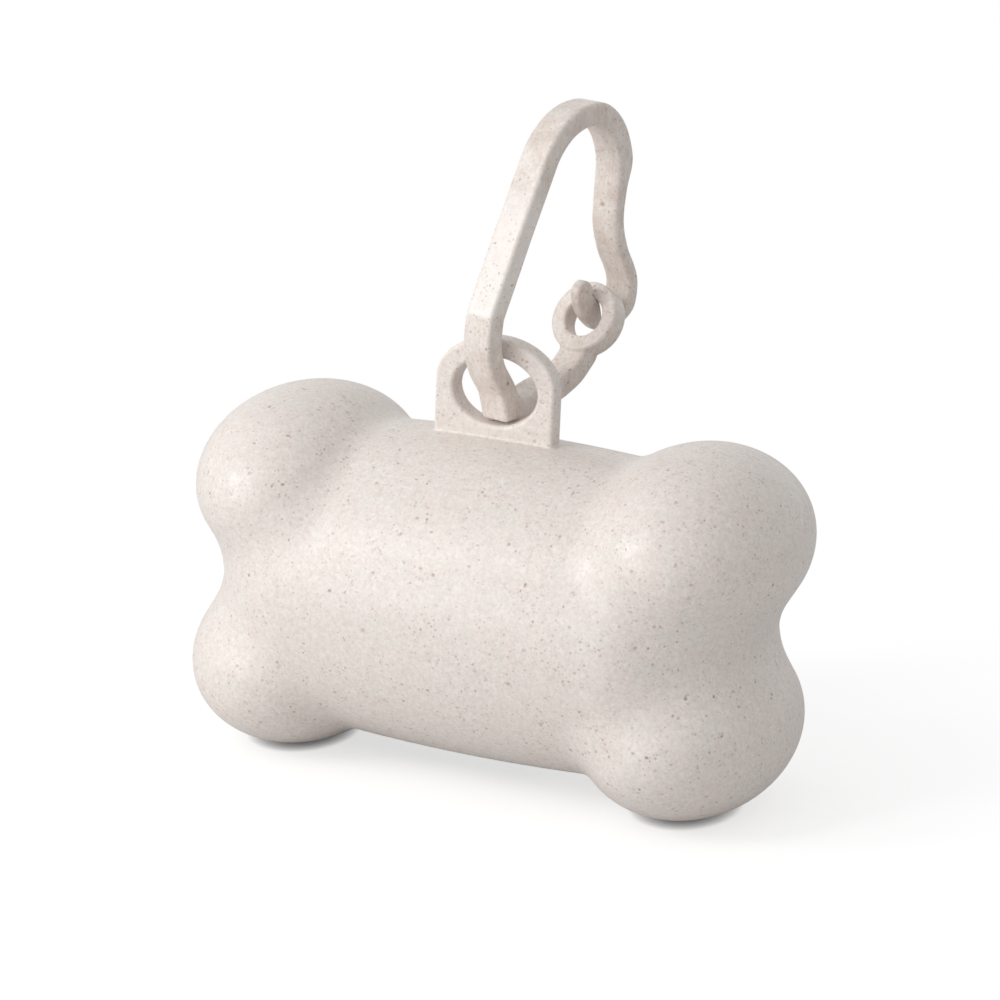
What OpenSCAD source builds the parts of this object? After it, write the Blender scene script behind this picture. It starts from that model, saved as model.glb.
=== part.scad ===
// Bone-shaped dispenser for rolls of pet waste bags, with a moulded clip in its eyelet.
// The origin is the centre of the eyelet's hole. +X points to the removable end cap, +Z up.

/* [Bone] */
// Length over the four lobes
bone_len = 84; // [80:1:92]
// Diameter of the shaft in its middle
shaft_d = 43; // [41:0.5:46]
// Fall of the shaft's radius, 30 mm from its middle
shaft_drop = 1.6; // [0:0.1:2]
// Length of the shaft between its end faces
shaft_len = 74; // [72:1:78]
// Rounding of the shaft's end faces
end_round = 14; // [10:1:16]
// Half length of a lobe, along the bone
lobe_x = 13.9; // [13:0.1:16]
// Half width of a lobe, front to back
lobe_y = 19.8; // [18:0.1:21]
// Half height of a lobe
lobe_z = 12.2; // [11:0.1:13.5]
// Height of a lobe's centre above the shaft's axis
lobe_rise = 12.2; // [11.5:0.1:14]
// Width of the soft blend between the lobes and the shaft
blend = 2.6; // [1.6:0.2:4]
// Depth of the flat that each lower lobe stands on
foot_flat = 0.3; // [0.1:0.1:0.6]

/* [Shell] */
// Wall of the shaft
wall = 2.4; // [2:0.1:3]
// Wall at the closed ends, along the bone
end_wall = 2.2; // [1.6:0.1:3]
// Distance of the parting seam from the bone's middle
seam_x = 12; // [9:0.5:14]
// Hairline between the body and the seated cap
seam_gap = 0.1; // [0.05:0.05:0.2]
// Length of the spigot that plugs into the cap
spigot_len = 6; // [4:0.5:8]
// Wall of the spigot
spigot_wall = 1.2; // [1:0.1:1.4]
// Radial clearance of the cap on the spigot
fit_gap = 0.08; // [0.05:0.01:0.1]
// Width of the key that lines the cap up with the body
key_w = 4; // [3:0.5:6]
// Depth of the key's notch in the spigot
key_depth = 0.8; // [0.5:0.1:1]

/* [Outlet] */
// Length of the bag outlet, along the bone
outlet_len = 26; // [20:1:30]
// Width of the bag outlet
outlet_w = 6; // [5:0.5:8]
// Place of the outlet's middle along the bone
outlet_x = -5; // [-8:1:-3]

/* [Eyelet] */
// Width of the eyelet
eyelet_w = 17; // [15:0.2:19]
// Thickness of the eyelet
eyelet_t = 2.8; // [2.2:0.1:3.2]
// Height of the eyelet above the shaft
eyelet_h = 13.4; // [13:0.2:16]
// Height of the eyelet's rounded top
arch_h = 6.3; // [4:0.1:8]
// Width of the eyelet's oval hole
eye_w = 12.1; // [11:0.1:12.8]
// Height of the eyelet's oval hole
eye_h = 9.2; // [8.8:0.1:9.6]
// Height of the hole's centre above the shaft
eye_rise = 6.3; // [6:0.1:6.8]
// Offset of the eyelet from the bone's middle
eyelet_x = -1.3; // [-2:0.1:2]

/* [Clip] */
// Width of the clip's band, across its loop
band_w = 4.4; // [3.6:0.2:4.6]
// Thickness of the band in the spine
spine_t = 2.9; // [2.4:0.1:3.1]
// Thickness of the springy gate
gate_t = 1.8; // [1.4:0.1:2.2]
// Edge rounding of the band
band_round = 0.5; // [0.3:0.1:0.7]
// Turn of the clip in the eyelet, from front to back
clip_turn = 13.5; // [0:0.5:18]
// Place of the band to the side of the hole's middle
clip_side = 0.45; // [0:0.05:0.8]
// Height of the band over the lowest point of the hole's rim
seat_rise = 0.75; // [0.7:0.05:0.9]
// Outer diameter of the latch ring
ring_d = 9.9; // [9.4:0.1:11]
// Bore of the latch ring
ring_bore = 6.2; // [6:0.1:7]
// Lean of the latch ring, with its front face tipped up
ring_lean = 31; // [24:1:36]
// Length of the latch head, along the ring's axis
head_len = 5.4; // [4:0.2:5.6]
// Height of the latch head
head_h = 2.2; // [1.8:0.1:2.4]
// Thickness of the latch head, across the clip
head_w = 1.6; // [1.2:0.1:2.4]

/* [Bag roll] */
// Diameter of a full roll of bags
roll_d = 29; // [22:0.5:30]
// Length of the roll
roll_len = 60; // [50:1:60]
// Outer diameter of the card core
core_d = 14; // [10:0.5:18]
// Wall of the card core
core_wall = 1; // [0.6:0.1:1.4]
// How far the core stands out of each end of the roll
core_proud = 0.6; // [0:0.1:1]
// Clearance under the roll where it lies in the shell
roll_gap = 0.3; // [0.2:0.05:0.5]

/* [Hidden] */
$fn = 72;

plastic = "#E0D9D3";
card = "#B89A74";
film = "#5E8F57";

half_len = bone_len / 2;
shaft_r = shaft_d / 2;
eye_z = shaft_r + eye_rise;
foot_z = -(lobe_rise + lobe_z - foot_flat);

// ---------- Skin of the bone, as one smooth implicit form ----------

columns = 64;
cap_rows = 22;

// Soft minimum of two distances
function soft_min(a, b) =
    let (h = max(blend - abs(a - b), 0) / blend)
    min(a, b) - h * h * blend / 4;

// Distance to the barrelled shaft with its rounded ends
function shaft_dist(p) =
    let (r_here = shaft_r - shaft_drop * pow(p[0] / 30, 2))
    let (dx = abs(p[0]) - (shaft_len / 2 - end_round))
    let (dr = norm([p[1], p[2]]) - (r_here - end_round))
    min(max(dx, dr), 0) + norm([max(dx, 0), max(dr, 0)]) - end_round;

// Near distance to the lobes, folded into the first one by symmetry
function lobe_dist(p) =
    let (q = [abs(p[0]) - (half_len - lobe_x), p[1], abs(p[2]) - lobe_rise])
    let (k0 = norm([q[0] / lobe_x, q[1] / lobe_y, q[2] / lobe_z]))
    let (k1 = norm([q[0] / pow(lobe_x, 2), q[1] / pow(lobe_y, 2), q[2] / pow(lobe_z, 2)]))
    k0 * (k0 - 1) / max(k1, 0.0001);

function skin_dist(p) = soft_min(shaft_dist(p), lobe_dist(p));

// Distance from c to the skin along the unit vector u, by halving
function reach(c, u, near, far, steps) =
    steps == 0 ? (near + far) / 2 :
    let (mid = (near + far) / 2)
    skin_dist(c + mid * u) > 0 ? reach(c, u, near, mid, steps - 1) : reach(c, u, mid, far, steps - 1);

function skin_point(c, u) = c + reach(c, u, 8, 40, 18) * u;

// Ring of skin points square to the axis at x, and fan rings that close an end from hub_x
function straight_ring(x) =
    [for (i = [0:columns - 1]) let (a = 360 * i / columns) skin_point([x, 0, 0], [0, cos(a), sin(a)])];
function fan_ring(hub_x, side, tilt) =
    [for (i = [0:columns - 1]) let (a = 360 * i / columns)
        skin_point([hub_x, 0, 0], [side * sin(tilt), cos(tilt) * cos(a), cos(tilt) * sin(a)])];

// Closed skin from the flat at x = flat_x to the end on the given side
module bone_end(flat_x, side, hub_x, spans) {
    straight = [for (k = [0:spans]) straight_ring(flat_x + (hub_x - flat_x) * k / spans)];
    fan = [for (k = [1:cap_rows - 1]) fan_ring(hub_x, side, 90 * k / cap_rows)];
    rings = concat(straight, fan);
    rows = len(rings);
    pole = skin_point([hub_x, 0, 0], [side, 0, 0]);
    points = concat([for (ring = rings) each ring], [pole]);
    flat = [[for (i = [0:columns - 1]) i]];
    skin = [for (j = [0:rows - 2], i = [0:columns - 1], half = [0, 1])
        let (a = j * columns + i)
        let (b = j * columns + (i + 1) % columns)
        half == 0 ? [a, a + columns, b] : [b, a + columns, b + columns]];
    tip = [for (i = [0:columns - 1])
        [(rows - 1) * columns + i, rows * columns, (rows - 1) * columns + (i + 1) % columns]];
    faces = concat(flat, skin, tip);
    polyhedron(points, side < 0 ? [for (f = faces) [for (k = [len(f) - 1:-1:0]) f[k]]] : faces);
}

// ---------- Roll chamber, spigot and cap ----------

chamber_r = shaft_r - shaft_drop * pow(seam_x / 30, 2) - wall;
chamber_half = shaft_len / 2 - end_wall;
chamber_round = end_round - end_wall;
spigot_r = chamber_r + spigot_wall;

// Round-ended chamber about the bone's axis
module chamber() {
    rotate([0, 90, 0])
        rotate_extrude($fn = 96)
            intersection() {
                union() {
                    translate([0, -chamber_half + chamber_round])
                        square([chamber_r, 2 * (chamber_half - chamber_round)]);
                    translate([0, -chamber_half])
                        square([chamber_r - chamber_round, 2 * chamber_half]);
                    for (s = [-1, 1])
                        translate([chamber_r - chamber_round, s * (chamber_half - chamber_round)])
                            circle(chamber_round);
                }
                translate([0, -half_len])
                    square([shaft_d, bone_len]);
            }
}

// Straight bore or rod along the bone's axis, from x0 to x1
module along_x(r, x0, x1) {
    translate([x0, 0, 0])
        rotate([0, 90, 0])
            cylinder(r = r, h = x1 - x0, $fn = 96);
}

// Everything below the standing plane
module under_floor() {
    translate([-bone_len, -shaft_d, foot_z - shaft_d])
        cube([2 * bone_len, 2 * shaft_d, shaft_d]);
}

module in_frame() {
    translate([-eyelet_x, 0, -eye_z])
        children();
}

module oval(w, h) {
    polygon([for (a = [0:7.5:359]) [w / 2 * cos(a), h / 2 * sin(a)]]);
}

// Eyelet with a round top, rooted in the shaft's wall
module eyelet() {
    translate([eyelet_x, eyelet_t / 2, 0])
        rotate([90, 0, 0])
            linear_extrude(eyelet_t)
                difference() {
                    union() {
                        translate([0, shaft_r + eyelet_h - arch_h])
                            oval(eyelet_w, 2 * arch_h);
                        translate([-eyelet_w / 2, shaft_r - wall])
                            square([eyelet_w, wall + eyelet_h - arch_h]);
                    }
                    translate([0, eye_z])
                        oval(eye_w, eye_h);
                }
}

// Round-ended slot through the underside
module outlet() {
    translate([outlet_x, 0, -shaft_r - wall])
        linear_extrude(2 * wall + shaft_drop)
            union() {
                square([outlet_len - outlet_w, outlet_w], center = true);
                for (s = [-1, 1])
                    translate([s * (outlet_len - outlet_w) / 2, 0])
                        circle(outlet_w / 2, $fn = 48);
            }
}

// Notch in the top of the spigot, and the key in the cap's mouth that fills it
module notch() {
    translate([seam_x, -key_w / 2, spigot_r - key_depth])
        cube([spigot_len + wall, key_w, key_depth + wall]);
}
module key() {
    translate([seam_x + seam_gap, -key_w / 2 + fit_gap, spigot_r - key_depth + fit_gap])
        cube([spigot_len - seam_gap, key_w - 2 * fit_gap, key_depth + spigot_wall / 2]);
}

module body_shell() {
    color(plastic)
        in_frame() {
            difference() {
                union() {
                    difference() {
                        bone_end(seam_x, -1, -15, 8);
                        under_floor();
                    }
                    eyelet();
                    along_x(spigot_r, seam_x - wall, seam_x + spigot_len);
                }
                chamber();
                outlet();
                notch();
            }
        }
}

module end_cap() {
    color(plastic)
        in_frame() {
            difference() {
                bone_end(seam_x + seam_gap, 1, 15, 1);
                under_floor();
                chamber();
                along_x(spigot_r + fit_gap, seam_x - wall, seam_x + spigot_len + seam_gap);
            }
            key();
        }
}

// ---------- Clip ----------

// The clip lies in a plane of its own. Its points are [run, rise] in mm, from the middle of
// the band where it rests in the eyelet, running to the back and rising to the top.
ring_at = [18.2, 8.75];
ring_proud = 0.05;
ring_t = spine_t + 2 * ring_proud;
ring_axis = [cos(ring_lean), -sin(ring_lean)];
ring_up = [sin(ring_lean), cos(ring_lean)];
ring_foot = ring_at - (ring_d + ring_bore) / 4 * ring_up;
head_at = ring_at - 2.6 * ring_axis + 0.3 * ring_up;
head_tip_up = 4;
neck_w = 2.4;

clip_route = [ring_foot, [15.9, 4.3], [15.15, 3.4], [13.8, 2.35], [12, 1.5], [10, 0.75], [7.7, 0.25],
    [5, 0], [3.2, 0], [1.6, 0.05], [0.3, 0.5], [-0.5, 1.4], [-0.95, 2.4], [-1.9, 3.8],
    [-3.4, 5.8], [-4.2, 8.2], [-4.3, 10.4], [-3.8, 13.1], [-2.5, 15.9], [-0.55, 19.2], [1.5, 23.2],
    [3.35, 26.6], [5.3, 30.2], [6.85, 33.05], [9.2, 35.35], [11.7, 36.65], [14.4, 37.15],
    [16.8, 36.95], [19, 35.75], [20.8, 33.7], [22, 31], [22.2, 29.2], [21.8, 27],
    [21.5, 24.2], [21.6, 21], [22.8, 17.6], [24.25, 15.2], [25.1, 13.3], [25.15, 11.4], [24.6, 9.5],
    [23.3, 8], [21.7, 7.3], ring_at + (ring_t / 2 + 0.6) * ring_axis, ring_at, head_at];
bend_index = 31;
split_index = 33;
neck_index = 40;
curve_steps = 3;

// Point on a smooth curve through the route, at t between points i and i + 1
function pick(route, i) = route[max(0, min(len(route) - 1, i))];
function smooth(route, i, t) =
    let (a = pick(route, i - 1))
    let (b = pick(route, i))
    let (c = pick(route, i + 1))
    let (d = pick(route, i + 2))
    (2 * b + (c - a) * t + (2 * a - 5 * b + 4 * c - d) * t * t + (3 * b - a - 3 * c + d) * t * t * t) / 2;

function curve(route, steps) =
    concat([for (i = [0:len(route) - 2], k = [0:steps - 1]) smooth(route, i, k / steps)], [route[len(route) - 1]]);

// Rounded oblong section, w across the clip and t in its plane
function section(w, t) =
    let (r = min(band_round, t / 2 - 0.05, w / 2 - 0.05))
    [for (q = [0:3], a = [0, 45, 90])
        let (sx = q == 0 || q == 3 ? 1 : -1)
        let (sy = q < 2 ? 1 : -1)
        [sx * (w / 2 - r) + r * cos(90 * q + a), sy * (t / 2 - r) + r * sin(90 * q + a)]];

// Band swept along the curve between two of its points, with a width and thickness for each
module band(points, widths, thicks, first, last) {
    rings = [for (i = [first:last])
        let (step = points[min(i + 1, len(points) - 1)] - points[max(i - 1, 0)])
        let (dir = step / norm(step))
        [for (s = section(widths[i], thicks[i]))
            [points[i][0] - s[1] * dir[1], -s[0], points[i][1] + s[1] * dir[0]]]];
    n = len(rings[0]);
    rows = len(rings);
    faces = concat(
        [[for (i = [n - 1:-1:0]) i]],
        [for (j = [0:rows - 2], i = [0:n - 1], half = [0, 1])
            let (a = j * n + i)
            let (b = j * n + (i + 1) % n)
            half == 0 ? [b, a + n, a] : [b + n, a + n, b]],
        [[for (i = [0:n - 1]) (rows - 1) * n + i]]);
    polyhedron([for (ring = rings) each ring], faces);
}

clip_curve = curve(clip_route, curve_steps);
clip_last = len(clip_curve) - 1;
split = split_index * curve_steps;

// From 0 to 1 between two points of the route
function along(i, first, last) = max(0, min(1, (i / curve_steps - first) / (last - first)));

// The spine's thickness runs out between the top bend and the split, the width into the neck
clip_widths = [for (i = [0:clip_last]) band_w - (band_w - neck_w) * along(i, neck_index, neck_index + 2)];
clip_thicks = [for (i = [0:clip_last]) spine_t - (spine_t - gate_t) * along(i, bend_index, split_index)];

// Puts the clip's plane, drawn in X and Z, into the eyelet and onto the rim of its hole
module clip_place() {
    translate([clip_side, 0, -eye_h / 2 + seat_rise + spine_t / 2])
        rotate([0, 0, 90 - clip_turn])
            children();
}

// Axis of the latch ring, along X with the ring's middle at the origin
module on_ring_axis() {
    translate([ring_at[0], 0, ring_at[1]])
        rotate([0, 90 + ring_lean, 0])
            children();
}

module clip_frame() {
    color(plastic)
        clip_place()
            difference() {
                union() {
                    band(clip_curve, clip_widths, clip_thicks, 0, split);
                    on_ring_axis()
                        cylinder(d = ring_d, h = ring_t, center = true);
                }
                on_ring_axis()
                    cylinder(d = ring_bore, h = 3 * ring_t, center = true);
            }
}

module clip_gate() {
    color(plastic)
        clip_place() {
            band(clip_curve, clip_widths, clip_thicks, split, clip_last);
            latch_head();
        }
}

// Thin oval head on the gate's end, in the clip's plane, which reaches through the ring
module latch_head() {
    translate([head_at[0], head_w / 2, head_at[1]])
        rotate([90, ring_lean + head_tip_up, 0])
            linear_extrude(head_w)
                oval(head_len, head_h);
}

// ---------- Bags ----------

// The roll lies in the rounded ends of the chamber, just clear of them
end_reach = max(0, roll_len / 2 - chamber_half + chamber_round);
nest_r = chamber_r - chamber_round + sqrt(pow(chamber_round, 2) - pow(end_reach, 2));
roll_z = -(nest_r - roll_d / 2 - roll_gap);

module on_roll_axis() {
    in_frame()
        translate([0, 0, roll_z])
            rotate([0, 90, 0])
                children();
}

module tube(outer, inner, length) {
    difference() {
        cylinder(d = outer, h = length, center = true, $fn = 96);
        cylinder(d = inner, h = 2 * length, center = true, $fn = 96);
    }
}

module roll_core() {
    color(card)
        on_roll_axis()
            tube(core_d, core_d - 2 * core_wall, roll_len + 2 * core_proud);
}

module bag_roll() {
    color(film)
        on_roll_axis()
            tube(roll_d, core_d, roll_len);
}

body_shell();
end_cap();
clip_frame();
clip_gate();
roll_core();
bag_roll();
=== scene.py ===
import itertools
import math

import bmesh
import bpy
import numpy as np
from mathutils import Matrix, Vector


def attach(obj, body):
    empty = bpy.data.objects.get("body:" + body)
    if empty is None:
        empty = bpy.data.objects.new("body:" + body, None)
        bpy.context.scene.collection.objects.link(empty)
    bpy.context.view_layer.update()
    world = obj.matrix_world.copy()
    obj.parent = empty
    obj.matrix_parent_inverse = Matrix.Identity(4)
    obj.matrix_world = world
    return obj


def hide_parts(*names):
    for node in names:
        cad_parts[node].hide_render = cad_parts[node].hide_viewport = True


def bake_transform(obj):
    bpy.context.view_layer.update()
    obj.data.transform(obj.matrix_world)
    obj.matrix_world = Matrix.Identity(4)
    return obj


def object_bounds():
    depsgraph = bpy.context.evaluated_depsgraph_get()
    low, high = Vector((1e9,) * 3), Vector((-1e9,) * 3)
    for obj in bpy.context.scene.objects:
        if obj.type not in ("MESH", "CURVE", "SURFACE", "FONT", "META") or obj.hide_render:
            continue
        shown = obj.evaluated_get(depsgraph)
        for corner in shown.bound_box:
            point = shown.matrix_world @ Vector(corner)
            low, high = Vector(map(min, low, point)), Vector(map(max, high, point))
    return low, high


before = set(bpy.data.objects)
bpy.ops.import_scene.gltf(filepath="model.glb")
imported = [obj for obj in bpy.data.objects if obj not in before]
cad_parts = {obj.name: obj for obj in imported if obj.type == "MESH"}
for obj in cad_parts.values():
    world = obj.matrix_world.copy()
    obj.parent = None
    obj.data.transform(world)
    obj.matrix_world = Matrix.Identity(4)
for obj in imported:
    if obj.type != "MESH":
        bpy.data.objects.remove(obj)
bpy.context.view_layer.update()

# Shapes are worked out in millimetres, in the bone's own frame: X along the bone, its axis at Z = 0.
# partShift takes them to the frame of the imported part, whose origin is the middle of the eyelet's hole.
mm = 0.001
partShift = np.array([1.3, 0.0, -27.8])

cameraSetup = {
    "azimuth": 24.1,
    "elevation": 16.5,
    "roll": 2.48,
    "distance": 521.6,
    "focalShare": 3.9819,    # focal length over the sensor's width
    "sensorWidth": 36,
    "clipRange": (0.05, 20),  # in metres
    "target": (-0.42, 0.0, 12.92),
}


def addCamera(setup):
    azimuth, elevation, roll = (math.radians(setup[name]) for name in ("azimuth", "elevation", "roll"))
    back = np.array([math.sin(azimuth) * math.cos(elevation),
                     -math.cos(azimuth) * math.cos(elevation), math.sin(elevation)])
    right = np.array([math.cos(azimuth), math.sin(azimuth), 0.0])
    up = np.cross(back, right)
    turnedRight = math.cos(roll) * right + math.sin(roll) * up
    turnedUp = math.cos(roll) * up - math.sin(roll) * right
    place = (np.array(setup["target"]) + partShift + setup["distance"] * back) * mm
    data = bpy.data.cameras.new("camera")
    data.sensor_width = setup["sensorWidth"]
    data.lens = setup["sensorWidth"] * setup["focalShare"]
    data.clip_start, data.clip_end = setup["clipRange"]
    camera = bpy.data.objects.new("camera", data)
    bpy.context.scene.collection.objects.link(camera)
    camera.matrix_world = Matrix([[turnedRight[k], turnedUp[k], back[k], place[k]] for k in range(3)]
                                 + [[0, 0, 0, 1]])
    bpy.context.scene.camera = camera


addCamera(cameraSetup)
print("camera placed")


def softMin(a, b, width):
    share = np.maximum(width - np.abs(a - b), 0) / width
    return np.minimum(a, b) - share * share * width / 4


def roundMax(a, b, radius):
    # Both a and b, with the edge where they meet rounded
    outside = np.hypot(np.maximum(a + radius, 0), np.maximum(b + radius, 0))
    return np.minimum(np.maximum(a, b), -radius) + outside


def ease(value, low, high):
    t = np.clip((value - low) / (high - low), 0, 1)
    return t * t * (3 - 2 * t)


def ovalDistance(offsets, halves):
    near = sum((offset / half) ** 2 for offset, half in zip(offsets, halves)) ** 0.5
    slope = sum((offset / half ** 2) ** 2 for offset, half in zip(offsets, halves)) ** 0.5
    return near * (near - 1) / np.maximum(slope, 1e-4)


def gradient(form, points, reach=0.02):
    slopes = np.empty_like(points)
    for k in range(3):
        step = np.zeros(3)
        step[k] = reach
        slopes[:, k] = (form(points + step) - form(points - step)) / (2 * reach)
    return slopes


def settle(form, points, rounds=4):
    # Moves points on to the form's surface
    for _ in range(rounds):
        slopes = gradient(form, points)
        steep = np.maximum((slopes ** 2).sum(1), 0.05)
        points = points - (form(points) / steep)[:, None] * slopes
    return points


def netOf(form, low, high, step):
    # Skin of a form as an even net of quads
    axes = [np.arange(low[k], high[k] + step, step) for k in range(3)]
    acrossY, acrossZ = np.meshgrid(axes[1], axes[2], indexing="ij")
    values = np.empty([len(axis) for axis in axes], np.float32)
    for i, x in enumerate(axes[0]):
        points = np.stack([np.full(acrossY.size, x), acrossY.ravel(), acrossZ.ravel()], -1)
        values[i] = form(points).reshape(acrossY.shape)
    corners = list(itertools.product((0, 1), repeat=3))
    sizes = [n - 1 for n in values.shape]
    inside = values < 0
    count = sum(inside[i:i + sizes[0], j:j + sizes[1], k:k + sizes[2]].astype(np.int8)
                for i, j, k in corners)
    cells = np.argwhere((count > 0) & (count < 8))
    number = np.full(sizes, -1)
    number[tuple(cells.T)] = np.arange(len(cells))
    total, hits = np.zeros((len(cells), 3)), np.zeros(len(cells))
    for a, b in itertools.combinations(corners, 2):
        if sum(abs(a[k] - b[k]) for k in range(3)) != 1:
            continue
        first = values[tuple((cells + a).T)]
        second = values[tuple((cells + b).T)]
        crossed = (first < 0) != (second < 0)
        share = np.where(crossed, first / np.where(crossed, first - second, 1), 0)
        total += crossed[:, None] * (np.array(a) + share[:, None] * (np.array(b) - np.array(a)))
        hits += crossed
    points = np.array(low) + step * (cells + total / hits[:, None])
    quads = []
    for k in range(3):
        u, v = (k + 1) % 3, (k + 2) % 3
        near = np.take(inside, range(0, values.shape[k] - 1), axis=k)
        far = np.take(inside, range(1, values.shape[k]), axis=k)
        edges = np.argwhere(near != far)
        edges = edges[(edges[:, u] > 0) & (edges[:, v] > 0)]
        leaving = near[tuple(edges.T)]
        around = []
        for du, dv in ((1, 1), (0, 1), (0, 0), (1, 0)):
            cell = edges.copy()
            cell[:, u] -= du
            cell[:, v] -= dv
            around.append(number[tuple(cell.T)])
        around = np.stack(around, -1)
        quads.append(np.where(leaving[:, None], around, around[:, ::-1]))
    return settle(form, points), np.concatenate(quads)


def newMesh(name, points, faces):
    mesh = bpy.data.meshes.new(name)
    mesh.from_pydata((np.asarray(points) * mm).tolist(), [], [list(face) for face in faces])
    mesh.validate()
    return mesh


def newObject(name, mesh):
    made = bpy.data.objects.new(name, mesh)
    bpy.context.scene.collection.objects.link(made)
    return made


def pointsOf(mesh):
    flat = np.empty(len(mesh.vertices) * 3)
    mesh.vertices.foreach_get("co", flat)
    return flat.reshape(-1, 3) / mm


def movePoints(mesh, points):
    mesh.vertices.foreach_set("co", (np.asarray(points) * mm).astype(np.float32).ravel())
    mesh.update()


def revolved(name, profile, turns=160, place=(0, 0, 0)):
    # Closed profile of (along, radius) turned about the X axis
    angles = [2 * math.pi * i / turns for i in range(turns)]
    points = [(along, radius * math.cos(a), radius * math.sin(a))
              for a in angles for along, radius in profile]
    size = len(profile)
    faces = [(i * size + j, i * size + (j + 1) % size,
              ((i + 1) % turns) * size + (j + 1) % size, ((i + 1) % turns) * size + j)
             for i in range(turns) for j in range(size)]
    mesh = newMesh(name, np.array(points) + np.array(place), faces)
    work = bmesh.new()
    work.from_mesh(mesh)
    bmesh.ops.remove_doubles(work, verts=work.verts, dist=0.002 * mm)
    bmesh.ops.recalc_face_normals(work, faces=work.faces)
    work.to_mesh(mesh)
    work.free()
    return mesh


def boxMesh(name, low, high):
    points = [[(low, high)[i][0], (low, high)[j][1], (low, high)[k][2]]
              for i, j, k in itertools.product((0, 1), repeat=3)]
    faces = [(0, 1, 3, 2), (4, 6, 7, 5), (0, 4, 5, 1), (2, 3, 7, 6), (0, 2, 6, 4), (1, 5, 7, 3)]
    return newMesh(name, points, faces)


def combine(obj, mesh, how):
    # Boolean with a mesh that is thrown away afterwards
    tool = newObject("tool", mesh)
    step = obj.modifiers.new("combine", "BOOLEAN")
    step.operation, step.solver, step.object = how, "EXACT", tool
    bpy.context.view_layer.update()
    result = bpy.data.meshes.new_from_object(obj.evaluated_get(bpy.context.evaluated_depsgraph_get()))
    obj.modifiers.clear()
    old, obj.data = obj.data, result
    bpy.data.objects.remove(tool)
    bpy.data.meshes.remove(old)
    bpy.data.meshes.remove(mesh)


def cutAt(mesh, x, keepLow):
    # Keeps one side of a plane across X and closes the cut
    work = bmesh.new()
    work.from_mesh(mesh)
    geometry = work.verts[:] + work.edges[:] + work.faces[:]
    found = bmesh.ops.bisect_plane(work, geom=geometry, dist=1e-7, plane_co=(x * mm, 0, 0),
                                   plane_no=(1, 0, 0), clear_outer=keepLow, clear_inner=not keepLow)
    rim = [e for e in found["geom_cut"] if isinstance(e, bmesh.types.BMEdge)]
    bmesh.ops.contextual_create(work, geom=rim)
    bmesh.ops.recalc_face_normals(work, faces=work.faces)
    made = mesh.copy()
    work.to_mesh(made)
    work.free()
    return made


def clean(mesh, apart=0.004):
    # Joins points closer than apart, in millimetres, drops slivers and closes what is left open
    work = bmesh.new()
    work.from_mesh(mesh)
    bmesh.ops.triangulate(work, faces=[f for f in work.faces if len(f.verts) > 4])
    bmesh.ops.remove_doubles(work, verts=work.verts, dist=apart * mm)
    bmesh.ops.dissolve_degenerate(work, dist=apart * mm / 2, edges=work.edges)
    bmesh.ops.delete(work, geom=[e for e in work.edges if not e.link_faces], context="EDGES")
    rim = [e for e in work.edges if e.is_boundary]
    if rim:
        bmesh.ops.holes_fill(work, edges=rim, sides=0)
    bmesh.ops.recalc_face_normals(work, faces=work.faces)
    print("cleaned, faulty edges left:", sum(not e.is_manifold for e in work.edges))
    work.to_mesh(mesh)
    work.free()


def refine(mesh, form, chosen):
    # Halves the faces whose middles are chosen, and settles the new points
    work = bmesh.new()
    work.from_mesh(mesh)
    middles = np.array([f.calc_center_median() for f in work.faces]) / mm
    keep = chosen(middles)
    edges = {e for f, take in zip(work.faces, keep) if take for e in f.edges}
    bmesh.ops.subdivide_edges(work, edges=list(edges), cuts=1, use_grid_fill=True)
    work.to_mesh(mesh)
    work.free()
    movePoints(mesh, settle(form, pointsOf(mesh), 3))


def finishShading(mesh, sharpAngle=38):
    # Smooth faces, with hard edges kept, and each point's place at rest stored for the materials
    work = bmesh.new()
    work.from_mesh(mesh)
    for face in work.faces:
        face.smooth = True
    limit = math.radians(sharpAngle)
    for edge in work.edges:
        edge.smooth = not (len(edge.link_faces) == 2 and edge.calc_face_angle(0) > limit)
    work.to_mesh(mesh)
    work.free()
    rest = mesh.attributes.new("restPlace", "FLOAT_VECTOR", "POINT")
    flat = np.empty(len(mesh.vertices) * 3, np.float32)
    mesh.vertices.foreach_get("co", flat)
    rest.data.foreach_set("vector", flat)


bone = {
    "halfLength": 42.0,
    "shaftRadius": 21.5,
    "shaftDrop": 1.6,        # how much thinner the shaft is, dropAt away from its middle
    "dropAt": 30.0,
    "shaftHalf": 37.0,
    "endRound": 14.0,
    "narrowFrom": 22.0,      # where along the shaft its ends start to narrow
    "endNarrow": 0.12,       # how much narrower the shaft's ends are from front to back
    "lobe": (13.9, 19.8, 12.2),
    "lobeRise": 12.2,
    "blend": 3.8,            # how widely lobes and shaft run together, in front and at the outline
    "crispBlend": 1.6,       # the same, in the valleys above and below
    "blendHeights": (10, 19),
    "footDepth": 24.1,       # the flats that it stands on, below its axis
    "footRound": 0.3,
    "netStep": 0.54,         # size of the net's quads, and the corners of the space that it fills
    "netLow": (-42.8, -22.4, -24.9),
    "netHigh": (42.8, 22.4, 35.8),
}
eyelet = {
    "middle": -1.3,
    "halfWidth": 8.5,
    "halfThickness": 1.4,
    "springHeight": 28.6,
    "archHeight": 6.3,
    "hole": (6.05, 4.6),
    "holeHeight": 27.8,
    "draft": 0.13,           # the hole narrows towards the back
    "rimRound": 0.5,
    "holeRound": 0.5,
    "rootBlend": 0.35,
    "rootHeight": 12.0,      # how deep in the shaft the plate starts
    "fineAbove": (20.2, 21),  # the net is halved above each of these
    "fineHalf": (11, 3.4),
}
outlet = {
    "middle": -5.0,
    "halfLength": 13.0,
    "halfWidth": 3.0,
    "depthTo": -17.6,
    "lipRound": 0.7,
    "fineBelow": -17,
    "fineHalf": (15, 5),
}
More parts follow.
